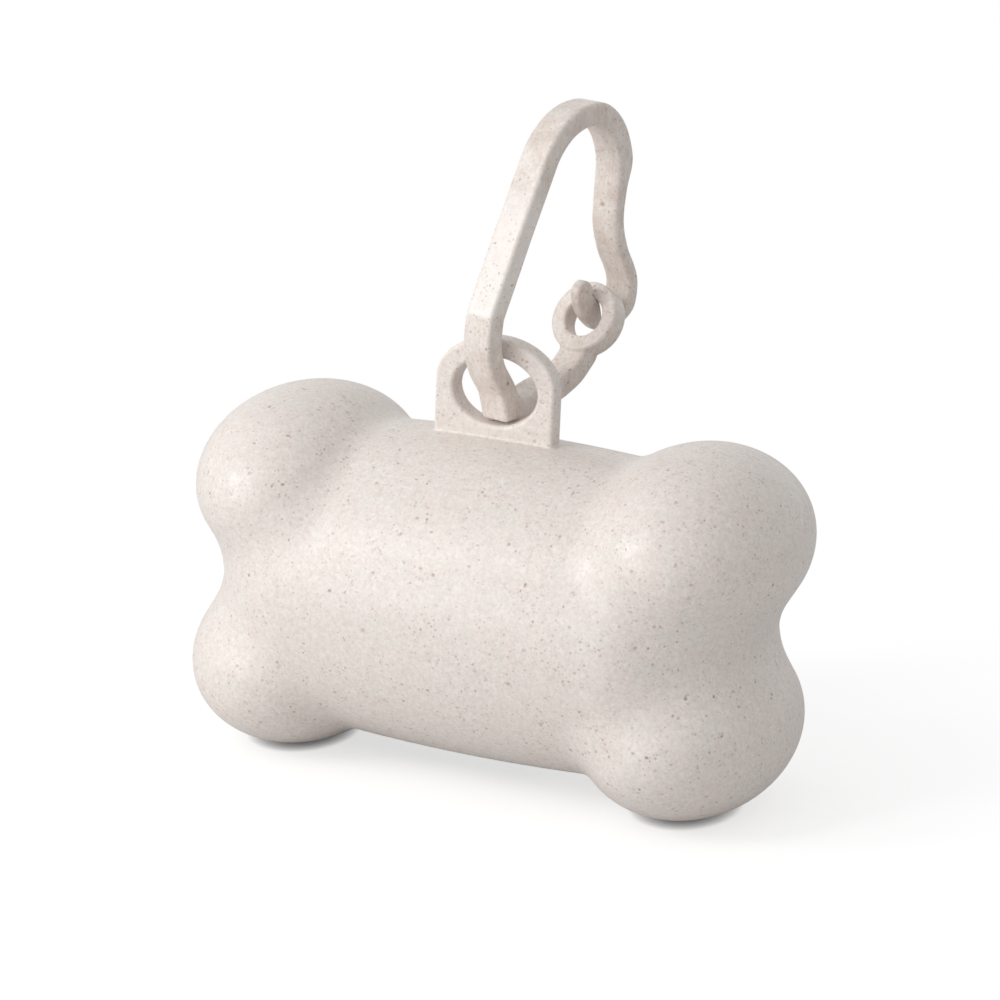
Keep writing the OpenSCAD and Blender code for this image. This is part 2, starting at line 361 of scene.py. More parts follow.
seam = {
    "x": 12.0,
    "gap": 0.012,
    "spigotLength": 6.0,
    "spigotRadius": 20.04,
    "spigotChamfer": 0.35,
    "socketGap": 0.08,
    "socketDeeper": 0.1,
    "past": 2.0,             # how far the cuts run past what they cut
    "chamberRadius": 18.84,
    "chamberHalf": 34.8,
    "chamberRound": 11.8,
    "chamberSteps": 19,
    "capChamberFrom": 11.0,
    "keyHalf": 2.0,
    "keyDepth": 0.8,
    "keyInset": 0.1,         # from the seam to where the key starts
    "keyPast": 0.3,          # how far it runs past the spigot's tip
    "keyRoot": 0.6,          # how far it reaches into the cap's wall
}


def shaftForm(p):
    narrowed = 1 + bone["endNarrow"] * ease(np.abs(p[:, 0]), bone["narrowFrom"], bone["shaftHalf"])
    around = np.hypot(p[:, 1] * narrowed, p[:, 2])
    here = bone["shaftRadius"] - bone["shaftDrop"] * (p[:, 0] / bone["dropAt"]) ** 2
    return roundMax(np.abs(p[:, 0]) - bone["shaftHalf"], around - here, bone["endRound"])


def lobeForm(p):
    x, y, z = p.T
    along = np.abs(x) - (bone["halfLength"] - bone["lobe"][0])
    return ovalDistance((along, y, np.abs(z) - bone["lobeRise"]), bone["lobe"])


def eyeletForm(p):
    x, z = p[:, 0] - eyelet["middle"], p[:, 2]
    arch = ovalDistance((x, z - eyelet["springHeight"]), (eyelet["halfWidth"], eyelet["archHeight"]))
    sides = np.abs(x) - eyelet["halfWidth"]
    outline = np.where(z > eyelet["springHeight"], arch, sides)
    hole = ovalDistance((x, z - eyelet["holeHeight"]), eyelet["hole"])
    hole = hole + eyelet["draft"] * (p[:, 1] + eyelet["halfThickness"])
    slab = np.abs(p[:, 1]) - eyelet["halfThickness"]
    plate = np.maximum(roundMax(outline, slab, eyelet["rimRound"]), eyelet["rootHeight"] - z)
    return roundMax(plate, -hole, eyelet["holeRound"])


def outletForm(p):
    along = np.maximum(np.abs(p[:, 0] - outlet["middle"]) - (outlet["halfLength"] - outlet["halfWidth"]), 0)
    return np.maximum(np.hypot(along, p[:, 1]) - outlet["halfWidth"], p[:, 2] - outlet["depthTo"])


def boneForm(p):
    crisp = ease(np.abs(p[:, 2]), *bone["blendHeights"])
    width = bone["blend"] - (bone["blend"] - bone["crispBlend"]) * crisp
    skin = softMin(shaftForm(p), lobeForm(p), width)
    skin = softMin(skin, eyeletForm(p), eyelet["rootBlend"])
    skin = roundMax(skin, -bone["footDepth"] - p[:, 2], bone["footRound"])
    return roundMax(skin, -outletForm(p), outlet["lipRound"])


def chamberProfile(startX, endX, side):
    # From startX along the wall to the round end at endX, on the given side
    radius, corner = seam["chamberRadius"], seam["chamberRound"]
    arc = [(endX + side * corner * (math.sin(a) - 1), radius - corner * (1 - math.cos(a)))
           for a in np.radians(np.linspace(0, 90, seam["chamberSteps"]))]
    return [(startX, 0), (startX, radius)] + arc + [(endX, 0)]


def buildBone():
    points, quads = netOf(boneForm, bone["netLow"], bone["netHigh"], bone["netStep"])
    whole = newMesh("bone", points, quads)
    print("bone net:", len(points), "points")

    def near(middles, feature):
        x, y, _ = middles.T
        reachX, reachY = feature["fineHalf"]
        return (np.abs(x - feature["middle"]) < reachX) & (np.abs(y) < reachY)

    for above in eyelet["fineAbove"]:
        refine(whole, boneForm, lambda m: near(m, eyelet) & (m[:, 2] > above))
    refine(whole, boneForm, lambda m: near(m, outlet) & (m[:, 2] < outlet["fineBelow"]))

    half, radius, past = seam["chamberHalf"], seam["spigotRadius"], seam["past"]
    root, tip = seam["x"] - past, seam["x"] + seam["spigotLength"]
    chamfer = seam["spigotChamfer"]
    body = newObject("bodyShell", cutAt(whole, seam["x"] - seam["gap"] / 2, keepLow=True))
    spigot = [(root, 0), (root, radius), (tip - chamfer, radius), (tip, radius - chamfer), (tip, 0)]
    combine(body, revolved("spigot", spigot), "UNION")
    combine(body, revolved("chamber", chamberProfile(tip + past, -half, -1)), "DIFFERENCE")
    combine(body, boxMesh("notch", (seam["x"], -seam["keyHalf"], radius - seam["keyDepth"]),
                          (tip + past, seam["keyHalf"], radius + past)), "DIFFERENCE")

    cap = newObject("endCap", cutAt(whole, seam["x"] + seam["gap"] / 2, keepLow=False))
    socket, deep = radius + seam["socketGap"], tip + seam["socketDeeper"]
    mouth = [(root, 0), (root, socket), (deep, socket), (deep, 0)]
    combine(cap, revolved("mouth", mouth), "DIFFERENCE")
    combine(cap, revolved("chamber", chamberProfile(seam["capChamberFrom"], half, 1)), "DIFFERENCE")
    keyHalf = seam["keyHalf"] - seam["socketGap"]
    keyLow = (seam["x"] + seam["keyInset"], -keyHalf, radius - seam["keyDepth"] + seam["socketGap"])
    keyHigh = (tip + seam["keyPast"], keyHalf, radius + seam["keyRoot"])
    combine(cap, boxMesh("key", keyLow, keyHigh), "UNION")
    bpy.data.meshes.remove(whole)
    for piece in (body, cap):
        clean(piece.data)
        movePoints(piece.data, pointsOf(piece.data) + partShift)
        finishShading(piece.data)
    return body, cap


bodyShell, endCap = buildBone()
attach(bodyShell, "body")
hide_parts("body_shell")
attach(endCap, "cap")
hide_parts("end_cap")
print("bone built")


# The clip's points are (run, rise), from the middle of its band where it rests in the eyelet
clip = {
    "turn": 13.5,
    "side": 0.45,
    "seat": -2.4,            # height of the band's middle there, from the middle of the hole
    "width": 4.4,
    "edgeRound": 0.55,
    "spineThickness": 3.0,
    "spineTaper": (0.93, 1.0),
    "spineRoute": [
        (16.4, 4.5), (15.15, 3.4), (13.8, 2.4), (12, 1.6), (10, 0.95), (7.9, 0.75), (6.1, 0.35),
        (4.6, -0.15), (3.1, -0.4), (1.7, -0.1), (0.3, 0.6), (-0.4, 1.4), (-0.75, 2.2), (-1.05, 2.75),
        (-1.9, 3.9), (-3.2, 5.6), (-4.0, 7.4), (-4.35, 8.9), (-4.4, 10.6), (-4.2, 12.4), (-4.08, 13.0),
        (-3.8, 13.6), (-2.6, 15.9), (-0.9, 19.2), (1.15, 23.2), (3.0, 26.6), (4.95, 30.2),
        (6.6, 33.05), (9.0, 35.35), (11.7, 36.65), (14.4, 37.1), (16.8, 36.9), (19, 35.7),
        (20.8, 33.7), (22, 31), (22.2, 29.2), (21.8, 27), (21.5, 24.2)],
    # Square heel where the band turns under, and which rests on the rim of the eyelet's hole
    "heelOutline": [(-2.35, 2.0), (-1.25, -1.4), (1.3, -1.45), (1.6, -0.5), (1.6, 1.6), (0.2, 2.6)],
    "heelBlend": 0.3,
    "ringAt": (18.2, 8.75),
    "ringLean": 31.0,
    "ringRadius": 4.95,
    "ringThickness": 2.9,
    "ringEdge": 0.45,
    "ringBlend": 0.6,
    "boreRadius": 2.74,
    "boreHalf": 3.0,
    "boreEdge": 0.4,
    "gateThickness": 1.9,
    "gateEdge": 0.62,
    "gateTaper": (0.72, 1.0),
    "gateRoute": [
        (21.8, 27), (21.5, 24.2), (21.6, 21), (22.85, 17.6), (24.4, 15.2), (25.25, 13.3), (25.3, 11.4),
        (24.75, 9.5), (23.6, 8.1), (22.4, 7.5)],
    "neckHalfWidth": 0.9,
    # Side outline of the latch blade, from the neck behind the ring over its barb and back
    "bladeOutline": [
        (24.6, 9.6), (23.4, 8.7), (21.8, 8.2), (20.5, 8.3), (20.2, 9.3), (19.75, 10.7), (18.8, 11.65),
        (18.05, 12.2), (18.2, 12.9), (17.5, 13.9), (16.4, 14.4), (15.3, 14.0), (14.75, 13.1),
        (14.9, 12.1), (15.35, 10.8), (16.3, 9.4), (17.6, 8.2), (18.7, 7.5), (20.1, 6.95),
        (21.6, 6.8), (23.2, 7.2), (24.6, 8.1)],
    "bladeThickness": 1.5,
    "bladeEdge": 0.35,
    "bladeBlend": 0.8,
    "splitAt": (21.5, 24.2),  # where loop and springy arm meet, and the arm starts to bend
    "bendTo": (21.5, 15.5),
    "cutReach": 4.0,         # only the band this near the cut is parted
    "netStep": 0.21,         # the same for both parts of the clip
    "loopNet": ((-6.6, -5.4, -2.2), (25, 5.4, 39.4)),
    "gateNet": ((13.5, -3.2, 5.6), (27.2, 3.2, 28.5)),
}


def smoothRoute(route, steps, closed=False):
    route = np.array(route, float)
    count = len(route)
    made = []
    for i in range(count if closed else count - 1):
        picks = [(i + k) % count if closed else min(max(i + k, 0), count - 1) for k in (-1, 0, 1, 2)]
        a, b, c, d = route[picks]
        for t in np.arange(steps) / steps:
            made.append((2 * b + (c - a) * t + (2 * a - 5 * b + 4 * c - d) * t ** 2
                         + (3 * b - a - 3 * c + d) * t ** 3) / 2)
    return np.array(made if closed else made + [route[-1]])


def alongRoute(places, route):
    # Distance from each place to the route, and how far along it the nearest point is, from 0 to 1
    points, back = np.unique(places, axis=0, return_inverse=True)
    back = back.ravel()
    best, where = np.full(len(points), 1e9), np.zeros(len(points))
    for i in range(len(route) - 1):
        leg = route[i + 1] - route[i]
        t = np.clip(((points - route[i]) @ leg) / (leg @ leg), 0, 1)
        apart = np.hypot(*(points - route[i] - t[:, None] * leg).T)
        nearer = apart < best
        best[nearer] = apart[nearer]
        where[nearer] = ((i + t) / (len(route) - 1))[nearer]
    return best[back], where[back]


def outlineDistance(places, outline):
    # Signed distance to a closed outline
    points, back = np.unique(places, axis=0, return_inverse=True)
    back = back.ravel()
    best, inside = np.full(len(points), 1e9), np.zeros(len(points), bool)
    for a, b in zip(outline, np.roll(outline, -1, axis=0)):
        leg = b - a
        t = np.clip(((points - a) @ leg) / (leg @ leg), 0, 1)
        best = np.minimum(best, np.hypot(*(points - a - t[:, None] * leg).T))
        crosses = (a[1] > points[:, 1]) != (b[1] > points[:, 1])
        level = np.where(crosses, points[:, 1] - a[1], 0)
        inside ^= crosses & (points[:, 0] < a[0] + leg[0] * level / (leg[1] if leg[1] else 1))
    return np.where(inside, -best, best)[back]


spineCurve = smoothRoute(clip["spineRoute"], steps=4)
gateCurve = smoothRoute(clip["gateRoute"], steps=5)
heelCurve = np.array(clip["heelOutline"])
bladeCurve = smoothRoute(clip["bladeOutline"], steps=4, closed=True)
ringLean = math.radians(clip["ringLean"])
ringAxis = np.array([math.cos(ringLean), -math.sin(ringLean)])
ringUp = np.array([math.sin(ringLean), math.cos(ringLean)])


def ringPlace(p):
    flat = p[:, (0, 2)] - np.array(clip["ringAt"])
    return flat @ ringAxis, np.hypot(flat @ ringUp, p[:, 1])


def spineForm(p):
    apart, where = alongRoute(p[:, (0, 2)], spineCurve)
    half = clip["spineThickness"] / 2
    half = half - (half - clip["gateThickness"] / 2) * ease(where, *clip["spineTaper"])
    side = softMin(apart - half, outlineDistance(p[:, (0, 2)], heelCurve), clip["heelBlend"])
    band = roundMax(side, np.abs(p[:, 1]) - clip["width"] / 2, clip["edgeRound"])
    depth, around = ringPlace(p)
    faces = np.abs(depth) - clip["ringThickness"] / 2
    ring = roundMax(around - clip["ringRadius"], faces, clip["ringEdge"])
    joined = softMin(band, ring, clip["ringBlend"])
    bore = np.maximum(around - clip["boreRadius"], np.abs(depth) - clip["boreHalf"])
    return roundMax(joined, -bore, clip["boreEdge"])


def gateForm(p):
    flat = p[:, (0, 2)]
    apart, where = alongRoute(flat, gateCurve)
    width = clip["width"] / 2
    width = width - (width - clip["neckHalfWidth"]) * ease(where, *clip["gateTaper"])
    band = roundMax(apart - clip["gateThickness"] / 2, np.abs(p[:, 1]) - width, clip["gateEdge"])
    side = np.abs(p[:, 1]) - clip["bladeThickness"] / 2
    blade = roundMax(outlineDistance(flat, bladeCurve), side, clip["bladeEdge"])
    return softMin(band, blade, clip["bladeBlend"])


def clipToPart(points):
    turn = math.radians(90 - clip["turn"])
    run, across, rise = points.T
    return np.stack([clip["side"] + run * math.cos(turn) - across * math.sin(turn),
                     run * math.sin(turn) + across * math.cos(turn), rise + clip["seat"]], -1)


def cutBand(mesh, keepAbove):
    # Cuts the band level at splitAt and keeps one side
    run, rise = clip["splitAt"]
    work = bmesh.new()
    work.from_mesh(mesh)
    near = [v for v in work.verts
            if math.hypot(v.co.x / mm - run, v.co.z / mm - rise) < clip["cutReach"]]
    edges = {e for v in near for e in v.link_edges}
    faces = {f for v in near for f in v.link_faces}
    found = bmesh.ops.bisect_plane(work, geom=near + list(edges) + list(faces), dist=1e-8,
                                   plane_co=(run * mm, 0, rise * mm), plane_no=(0, 0, -1),
                                   clear_outer=keepAbove, clear_inner=not keepAbove)
    rim = [e for e in found["geom_cut"] if isinstance(e, bmesh.types.BMEdge)]
    # What is left past the cut hangs on nothing, so only the largest island stays
    islands, seen = [], set()
    for start in work.verts:
        if start in seen:
            continue
        island, queue = [], [start]
        seen.add(start)
        while queue:
            v = queue.pop()
            island.append(v)
            for e in v.link_edges:
                other = e.other_vert(v)
                if other not in seen:
                    seen.add(other)
                    queue.append(other)
        islands.append(island)
    islands.sort(key=len)
    stray = [v for island in islands[:-1] for v in island]
    bmesh.ops.contextual_create(work, geom=[e for e in rim if e.is_valid])
    bmesh.ops.delete(work, geom=stray, context="VERTS")
    bmesh.ops.recalc_face_normals(work, faces=work.faces)
    work.to_mesh(mesh)
    work.free()


def buildClip():
    points, quads = netOf(spineForm, *clip["loopNet"], clip["netStep"])
    loop = newMesh("clipLoop", points, quads)
    cutBand(loop, keepAbove=True)
    points, quads = netOf(gateForm, *clip["gateNet"], clip["netStep"])
    gate = newMesh("clipGate", points, quads)
    cutBand(gate, keepAbove=False)
    made = []
    for mesh in (loop, gate):
        movePoints(mesh, clipToPart(pointsOf(mesh)))
        finishShading(mesh, sharpAngle=50)
        made.append(newObject(mesh.name, mesh))
        print(mesh.name, len(mesh.vertices), "points")
    return made


clipLoop, clipGate = buildClip()
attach(clipLoop, "clip")
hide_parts("clip_frame")
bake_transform(clipGate)
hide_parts("clip_gate")
print("clip built")


roll = {
    "axisHeight": -1.7435,
    "radius": 14.5,
    "halfLength": 30.0,
    "coreRadius": 7.0,
    "coreWall": 1.0,
    "coreProud": 0.6,
    "coreChamfer": 0.15,
    "filmStep": 0.22,        # how far the loose outer edge stands proud
    "turns": 220,
    "endRings": 26,
    "endRelief": (-0.16, 0.02),   # the layers end unevenly, and those above 0 count as 0
    "rimRelief": -0.1,
    "lengthRings": 40,
    "ripple": 0.03,
    "rippleWaves": 5,
    "rippleLean": 0.21,
    "rippleInset": 0.3,      # the ripple stays this far from the ends
}


def buildRoll():
    rng = np.random.default_rng(7)
    turns, half = roll["turns"], roll["halfLength"]
    angles = 2 * math.pi * np.arange(turns + 1) / turns
    shares = np.linspace(0, 1, roll["endRings"])
    relief = rng.uniform(*roll["endRelief"], len(shares))
    relief[0] = relief[-1] = roll["rimRelief"]
    rows = []
    # One strip from the core outwards over one end, along the roll and back over the other end
    for share, dip in zip(shares, relief):
        rows.append((-half - min(dip, 0), share))
    for along in np.linspace(-half, half, roll["lengthRings"])[1:-1]:
        rows.append((along, 1))
    for share, dip in zip(shares[::-1], relief[::-1]):
        rows.append((half + min(dip, 0), share))
    points = []
    for a in angles:
        outer = roll["radius"] - roll["filmStep"] * (1 - a / (2 * math.pi))
        for along, share in rows:
            wave = math.sin(roll["rippleWaves"] * a + along * roll["rippleLean"])
            ripple = roll["ripple"] * wave * share ** 3 * (abs(along) < half - roll["rippleInset"])
            radius = roll["coreRadius"] + share * (outer - roll["coreRadius"]) - abs(ripple)
            points.append((along, radius * math.sin(a), roll["axisHeight"] + radius * math.cos(a)))
    size = len(rows)
    faces = [(i * size + j, i * size + j + 1, (i + 1) * size + j + 1, (i + 1) * size + j)
             for i in range(turns) for j in range(size - 1)]
    # The bore beside the core closes the form, and the film's loose edge is a step from last row to first
    faces += [((i + 1) * size, (i + 1) * size + size - 1, i * size + size - 1, i * size)
              for i in range(turns)]
    faces += [(j + 1, j, turns * size + j, turns * size + j + 1) for j in range(size - 1)]
    mesh = newMesh("bagRoll", points, faces)
    clean(mesh, apart=0.001)
    movePoints(mesh, pointsOf(mesh) + partShift)
    finishShading(mesh, sharpAngle=40)
    film = newObject("bagRoll", mesh)

    end, chamfer = half + roll["coreProud"], roll["coreChamfer"]
    outer, inner = roll["coreRadius"], roll["coreRadius"] - roll["coreWall"]
    profile = []
    for side in (1, -1):
        profile += [(side * (end - chamfer), outer), (side * end, outer - chamfer),
                    (side * end, inner + chamfer), (side * (end - chamfer), inner)][::side]
    core = revolved("rollCore", profile, turns=120, place=(0, 0, roll["axisHeight"]))
    movePoints(core, pointsOf(core) + partShift)
    finishShading(core)
    return film, newObject("rollCore", core)


bagRoll, rollCore = buildRoll()
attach(bagRoll, "roll")
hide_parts("bag_roll")
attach(rollCore, "roll")
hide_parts("roll_core")
print("roll built")


class Wire:
    # A node's output, where maths on it adds Math nodes
    def __init__(self, graph, node, output):
        self.graph, self.node = graph, node
        self.socket = node.outputs[output] if len(node.outputs) else None

    def other(self, output):
        return Wire(self.graph, self.node, output)

    def maths(self, how, *values, clamp=False):
        return self.graph.node("ShaderNodeMath", {"operation": how, "use_clamp": clamp},
                               dict(enumerate(values)))

    def __add__(self, other):
        return self.maths("ADD", self, other)

    def __radd__(self, other):
        return self.maths("ADD", other, self)

    def __sub__(self, other):
        return self.maths("SUBTRACT", self, other)

    def __rsub__(self, other):
        return self.maths("SUBTRACT", other, self)

    def __mul__(self, other):
        return self.maths("MULTIPLY", self, other)

    def __rmul__(self, other):
        return self.maths("MULTIPLY", other, self)

    def __truediv__(self, other):
        return self.maths("DIVIDE", self, other)

    def __pow__(self, other):
        return self.maths("POWER", self, other)

    def __abs__(self):
        return self.maths("ABSOLUTE", self)

    def sine(self):
        return self.maths("SINE", self)

    def clipped(self):
        return self.maths("ADD", self, 0.0, clamp=True)

    def ramped(self, start, gain):
        # 0 up to start, then rising by gain to 1, and falling where gain is negative
        return ((self - start) * gain).clipped()

    def most(self, other):
        return self.maths("MAXIMUM", self, other)


class Graph:
    # The nodes of a material or a world
    def __init__(self, owner):
        self.owner = owner
        owner.use_nodes = True
        self.tree = owner.node_tree
        self.tree.nodes.clear()

    def node(self, kind, settings=None, values=None, output=0):
        made = self.tree.nodes.new(kind)
        for name, value in (settings or {}).items():
            if name == "stops":
                ramp = made.color_ramp.elements
                while len(ramp) < len(value):
                    ramp.new(1)
                for element, (place, colour) in zip(ramp, value):
                    element.position, element.color = place, colour
            else:
                setattr(made, name, value)
        for name, value in (values or {}).items():
            if isinstance(value, Wire):
                self.tree.links.new(value.socket, made.inputs[name])
            else:
                made.inputs[name].default_value = value
        return Wire(self, made, output)

    def mixColours(self, share, first, second):
        return self.node("ShaderNodeMix", {"data_type": "RGBA"}, {0: share, 6: first, 7: second}, 2)

    def place(self):
        # Place at rest, in millimetres
        rest = self.node("ShaderNodeAttribute", {"attribute_name": "restPlace"}, output="Vector")
        return self.node("ShaderNodeVectorMath", {"operation": "SCALE"}, {0: rest, "Scale": 1 / mm})

    def stretched(self, place, scale, turn=(0.0, 0.0, 0.0)):
        return self.node("ShaderNodeMapping", {"vector_type": "POINT"},
                         {"Vector": place, "Rotation": turn, "Scale": scale})

    def parts(self, place):
        x = self.node("ShaderNodeSeparateXYZ", {}, {"Vector": place})
        return x, x.other(1), x.other(2)

    def noise(self, place, size, detail=2.0, roughness=0.5, output="Fac"):
        return self.node("ShaderNodeTexNoise", {}, {"Vector": place, "Scale": 1 / size, "Detail": detail,
                                                    "Roughness": roughness}, output)

    def patches(self, place, size, detail, roughness, start, gain):
        return self.noise(place, size, detail, roughness).ramped(start, gain)

    def bump(self, height, depth):
        return self.node("ShaderNodeBump", {}, {"Strength": 1.0, "Distance": depth * mm, "Height": height})

    def finish(self, values):
        shader = self.node("ShaderNodeBsdfPrincipled", {}, values)
        self.node("ShaderNodeOutputMaterial", {}, {"Surface": shader})
        return self.owner


def newMaterial(name):
    return Graph(bpy.data.materials.new(name))


def opaque(red, green, blue):
    return (red, green, blue, 1.0)


def fromScreen(red, green, blue):
    # Colour written as a screen shows it, 0 to 255
    return opaque(*(((c / 255 + 0.055) / 1.055) ** 2.4 for c in (red, green, blue)))


straw = {
    "warm": fromScreen(225, 212, 206),
    "cool": fromScreen(222, 215, 209),
    "pale": fromScreen(226, 217, 212),
    "paleShare": 0.6,
    # Finer tones over these: how much of each, and its two colours
    "tones": {
        "blush": (0.3, fromScreen(231, 212, 207), fromScreen(220, 219, 211)),
        "mottle": (0.3, fromScreen(196, 184, 176), fromScreen(243, 237, 231)),
        "speckle": (0.22, fromScreen(200, 190, 181), fromScreen(247, 243, 237)),
    },
    # Size in millimetres, detail and roughness of the noise, where the tone starts and how sharply
    "patches": {
        "warmth": (9.0, 3.0, 0.5, 0.42, 4.0),
        "paleness": (4.3, 2.0, 0.5, 0.4, 3.0),
        "blush": (1.9, 2.0, 0.5, 0.36, 3.6),
        "mottle": (0.9, 3.0, 0.65, 0.3, 2.5),
        "speckle": (0.42, 1.0, 0.5, 0.3, 2.5),
        "streaks": (0.8, 3.0, 0.6, 0.42, 2.6),
        "clouds": (3.4, 2.0, 0.5, 0.44, 3.4),
        "crowding": (2.4, 2.0, 0.5, 0.32, 2.6),
    },
    "stain": fromScreen(186, 167, 152),
    "stainDrawn": (1.6, 1.6, 0.3),
    # Painted highlight: the paler colour laid on the clip's straight run where the lamps shine on it, how
    # much of it, and how much stain is left under it
    "paintedHighlight": fromScreen(238, 233, 229),
    "paintedHighlightShare": 0.5,
    "stainInPaintedHighlight": 0.25,
    # Where the painted highlight on the clip's straight run ends at its front, foot and top: axis, place in
    # millimetres, sharpness
    "paintedHighlightEnds": ((1, 3.5, 0.3), (2, 11.2, -1.1), (2, 23.0, 0.2)),
    # cell is in millimetres, share is how many cells hold a fleck, size is a share of the cell
    "fleckLayers": [
        {"cell": 1.45, "stretch": (1.0, 1.7, 1.3), "turn": (0.3, 0.5, 0.2),
         "share": 0.50, "size": 0.26, "strength": 0.90},
        {"cell": 0.85, "stretch": (1.7, 1.0, 1.4), "turn": (0.9, 0.1, 1.1),
         "share": 0.65, "size": 0.34, "strength": 0.66},
        {"cell": 0.62, "stretch": (1.0, 1.3, 1.2), "turn": (0.0, 1.2, 0.7),
         "share": 0.70, "size": 0.40, "strength": 0.48},
        {"cell": 0.42, "stretch": (1.2, 1.0, 1.5), "turn": (1.1, 0.4, 0.3),
         "share": 0.75, "size": 0.44, "strength": 0.30},
    ],
    "fleckStops": [
        (0.0, fromScreen(112, 98, 90)),
        (0.35, fromScreen(142, 126, 116)),
        (0.6, fromScreen(172, 142, 134)),
        (0.85, fromScreen(186, 160, 140)),
    ],
    "fleckWobble": 0.14,
    "wobbleSize": 0.45,
    "fleckEdge": 7.0,
    "fleckSpread": 0.7,
    "faintestFleck": 0.25,
    "crowdingRange": (0.55, 1.3),
    "roughness": 0.36,
    "roughGrain": 0.12,
    "roughFleck": 0.08,
    "grainSize": 0.35,
    "grainHeight": 0.6,
    "swellSize": 2.6,
    "swellHeight": 1.4,
    "fleckDip": 0.5,
    "grainDepth": 0.012,
    "lineSharpness": 7.0,
    "lineFoot": (-5.9, 2.0),  # height where it starts, and how sharply
    "lineHeight": 3.0,
}


def strawPlastic(name, partingLine=False, stains=0.0):
    g = newMaterial(name)
    place = g.place()

    def patches(kind, at=place):
        return g.patches(at, *straw["patches"][kind])

    colour = g.mixColours(patches("warmth"), straw["cool"], straw["warm"])
    colour = g.mixColours(patches("paleness") * straw["paleShare"], colour, straw["pale"])
    for kind, (share, first, second) in straw["tones"].items():
        colour = g.mixColours(share, colour, g.mixColours(patches(kind), first, second))
    # Stains, and on the clip a painted highlight: a paler colour on its straight run
    if stains:
        # The clip was moulded from one end, so its tone runs along it in streaks and clouds
        drawn = g.stretched(place, straw["stainDrawn"])
        share = (patches("streaks", drawn) * 0.5 + patches("clouds") * 0.5) * stains
        # Painted highlight: the straight run up from the eyelet, where the lamps shine on it, is painted
        # paler up to a plain edge across it, and keeps less stain there
        axes = g.parts(place)
        front, foot, top = (axes[axis].ramped(start, gain)
                            for axis, start, gain in straw["paintedHighlightEnds"])
        outsidePaintedHighlight = front.most(foot).most(top)
        colour = g.mixColours((1 - outsidePaintedHighlight) * straw["paintedHighlightShare"], colour, straw["paintedHighlight"])
        left = straw["stainInPaintedHighlight"]
        colour = g.mixColours(share * (left + outsidePaintedHighlight * (1 - left)), colour, straw["stain"])
    wobble = g.noise(place, straw["wobbleSize"], 1.0, output="Color")
    sparse, dense = straw["crowdingRange"]
    crowding = sparse + patches("crowding") * (dense - sparse)   # flecks gather in loose clusters
    flecked = 0.0
    for layer in straw["fleckLayers"]:
        pushed = g.node("ShaderNodeMix", {"data_type": "VECTOR"},
                        {0: straw["fleckWobble"], 4: place, 5: wobble}, 1)
        spun = g.stretched(pushed, layer["stretch"], layer["turn"])
        cell = g.node("ShaderNodeTexVoronoi", {},
                      {"Vector": spun, "Scale": 1 / layer["cell"], "Randomness": 1.0}, "Distance")
        red = g.node("ShaderNodeSeparateColor", {}, {"Color": cell.other("Color")})
        green, blue = red.other(1), red.other(2)
        # Red chooses which cells hold a fleck and how large it is, green its tone, blue how strong it is
        chosen = ((red - (1 - layer["share"])) / layer["share"]).clipped()
        limit = chosen ** straw["fleckSpread"] * crowding * layer["size"]
        shown = straw["faintestFleck"] + blue * (1 - straw["faintestFleck"])
        mask = ((limit - cell) * straw["fleckEdge"]).clipped() * shown * layer["strength"]
        tone = g.node("ShaderNodeValToRGB", {"stops": straw["fleckStops"]}, {"Fac": green})
        colour = g.mixColours(mask, colour, tone)
        flecked = mask + flecked
    grain = g.noise(place, straw["grainSize"], 3.0, 0.55)
    swell = g.noise(place, straw["swellSize"], 1.0)
    height = grain * straw["grainHeight"] + swell * straw["swellHeight"] - flecked * straw["fleckDip"]
    if partingLine:
        # A faint raised line where the halves of the mould met, round the middle of the eyelet
        _, y, z = g.parts(place)
        line = (1 - abs(y) * straw["lineSharpness"]).clipped() * z.ramped(*straw["lineFoot"])
        height = height + line * straw["lineHeight"]
    rough = straw["roughness"] + (grain - 0.5) * straw["roughGrain"] + flecked * straw["roughFleck"]
    return g.finish({"Base Color": colour, "Roughness": rough,
                     "Normal": g.bump(height, straw["grainDepth"]), "Specular IOR Level": 0.5})


card = {
    "dark": fromScreen(150, 121, 88),
    "light": fromScreen(196, 167, 130),
    "worn": fromScreen(176, 146, 110),
    "wornShare": 0.4,
    "wornSize": 3.0,
    "fibres": (0.5, 2.2, 2.2),
    "fibreSize": 0.4,
    "roughness": 0.85,
    "grainDepth": 0.03,
}


def cardMaterial():
    g = newMaterial("brownCard")
    place = g.place()
    fine = g.noise(g.stretched(place, card["fibres"]), card["fibreSize"], 4.0, 0.6)
    broad = g.noise(place, card["wornSize"], 2.0)
    colour = g.mixColours(fine.ramped(0.35, 2.4), card["dark"], card["light"])
    colour = g.mixColours(broad.ramped(0.4, 2.0) * card["wornShare"], colour, card["worn"])
    return g.finish({"Base Color": colour, "Roughness": card["roughness"],
                     "Normal": g.bump(fine, card["grainDepth"]), "Specular IOR Level": 0.3})


film = {
    "dark": fromScreen(70, 118, 66),
    "light": fromScreen(104, 152, 94),
    "ring": fromScreen(48, 88, 50),
    "ringShare": 0.6,
    "ringRate": 17.0,        # per millimetre outwards
    "ringWander": 9.0,
    "wanderSize": 4.0,
    "endDepth": 0.35,
    "creases": (1.0, 0.18, 0.18),
    "creaseSize": 1.3,
    "roughness": 0.34,
    "roughRipple": 0.14,
    "roughEnd": 0.2,
    "grainDepth": 0.08,
}


